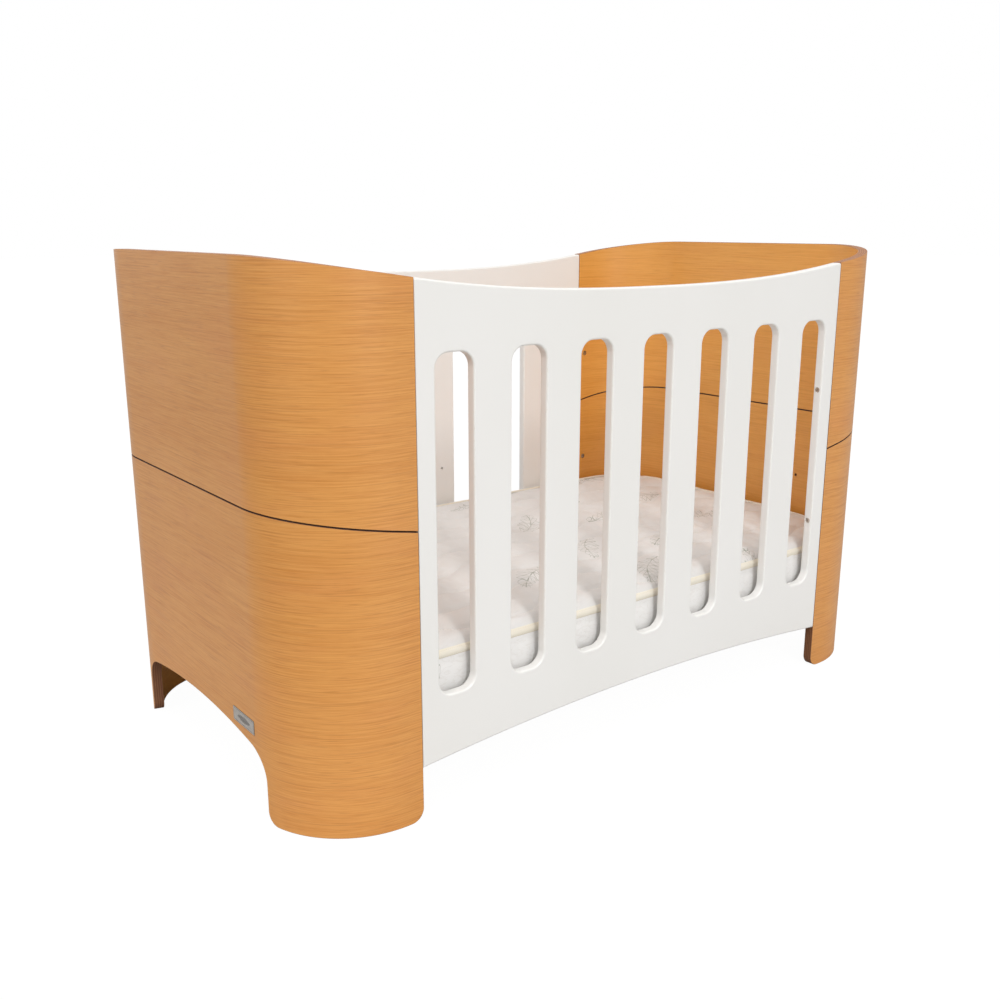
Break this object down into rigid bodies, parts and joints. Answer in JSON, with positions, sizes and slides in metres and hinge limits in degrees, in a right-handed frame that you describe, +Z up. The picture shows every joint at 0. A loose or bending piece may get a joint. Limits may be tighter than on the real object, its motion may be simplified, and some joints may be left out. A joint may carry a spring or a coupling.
{
  "type": "baby crib",
  "caption": "Baby crib with two-part bent-plywood ends, white slotted side panels, an arched opening under each end, a slatted base on brackets and a loose mattress.",
  "frame": {"origin": "centre of the footprint, on the floor", "axes": "+X along the crib's length, towards the right end as seen from the front; +Y from the front panel to the rear panel; +Z up"},
  "size_m": [1.37, 0.766, 0.861],
  "materials": {
    "oak_veneer": "satin lacquered oak veneer on bent plywood",
    "white_paint": "satin white paint on board",
    "birch_ply": "clear sealed birch plywood",
    "beech": "plain sanded beech",
    "nickel_plated_steel": "nickel-plated steel",
    "zinc_plated_steel": "bright zinc plating",
    "mattress_fabric": "quilted knitted cover",
    "brushed_aluminium": "brushed"
  },
  "bodies": {
    "crib": {"left_end_upper": "oak_veneer", "left_end_lower": "oak_veneer", "right_end_upper": "oak_veneer", "right_end_lower": "oak_veneer", "front_panel": "white_paint", "rear_panel": "white_paint", "panel_bolt_front_left_lower": "nickel_plated_steel", "panel_bolt_front_left_upper": "nickel_plated_steel", "panel_bolt_front_right_lower": "nickel_plated_steel", "panel_bolt_front_right_upper": "nickel_plated_steel", "panel_bolt_rear_left_lower": "nickel_plated_steel", "panel_bolt_rear_left_upper": "nickel_plated_steel", "panel_bolt_rear_right_lower": "nickel_plated_steel", "panel_bolt_rear_right_upper": "nickel_plated_steel", "barrel_nut_front_left_lower": "zinc_plated_steel", "barrel_nut_front_left_upper": "zinc_plated_steel", "barrel_nut_front_right_lower": "zinc_plated_steel", "barrel_nut_front_right_upper": "zinc_plated_steel", "barrel_nut_rear_left_lower": "zinc_plated_steel", "barrel_nut_rear_left_upper": "zinc_plated_steel", "barrel_nut_rear_right_lower": "zinc_plated_steel", "barrel_nut_rear_right_upper": "zinc_plated_steel", "seam_dowel_left_front": "beech", "seam_dowel_left_rear": "beech", "seam_dowel_right_front": "beech", "seam_dowel_right_rear": "beech", "bracket_left_front": "zinc_plated_steel", "bracket_left_rear": "zinc_plated_steel", "bracket_right_front": "zinc_plated_steel", "bracket_right_rear": "zinc_plated_steel", "bracket_front_left": "zinc_plated_steel", "bracket_front_right": "zinc_plated_steel", "bracket_rear_left": "zinc_plated_steel", "bracket_rear_right": "zinc_plated_steel", "bracket_screw_left_front": "zinc_plated_steel", "bracket_screw_left_rear": "zinc_plated_steel", "bracket_screw_right_front": "zinc_plated_steel", "bracket_screw_right_rear": "zinc_plated_steel", "bracket_screw_front_left": "zinc_plated_steel", "bracket_screw_front_right": "zinc_plated_steel", "bracket_screw_rear_left": "zinc_plated_steel", "bracket_screw_rear_right": "zinc_plated_steel", "blank_plate": "brushed_aluminium"},
    "base": {"base_frame_left": "birch_ply", "base_frame_right": "birch_ply", "base_beam": "beech", "slat_1": "beech", "slat_2": "beech", "slat_3": "beech", "slat_4": "beech", "slat_5": "beech", "slat_6": "beech", "slat_7": "beech", "slat_8": "beech", "slat_9": "beech", "beam_screw_front_left": "zinc_plated_steel", "beam_screw_front_right": "zinc_plated_steel", "beam_screw_rear_left": "zinc_plated_steel", "beam_screw_rear_right": "zinc_plated_steel"},
    "mattress": {"mattress": "mattress_fabric"}
  },
  "joints": [
    {"name": "base_height", "type": "slide", "parent": "crib", "child": "base", "axis": [0, 0, 1], "range_m": [0, 0.211]},
    {"name": "mattress_lift", "type": "slide", "parent": "base", "child": "mattress", "axis": [0, 0, 1], "range_m": [0, 0.75]}
  ]
}
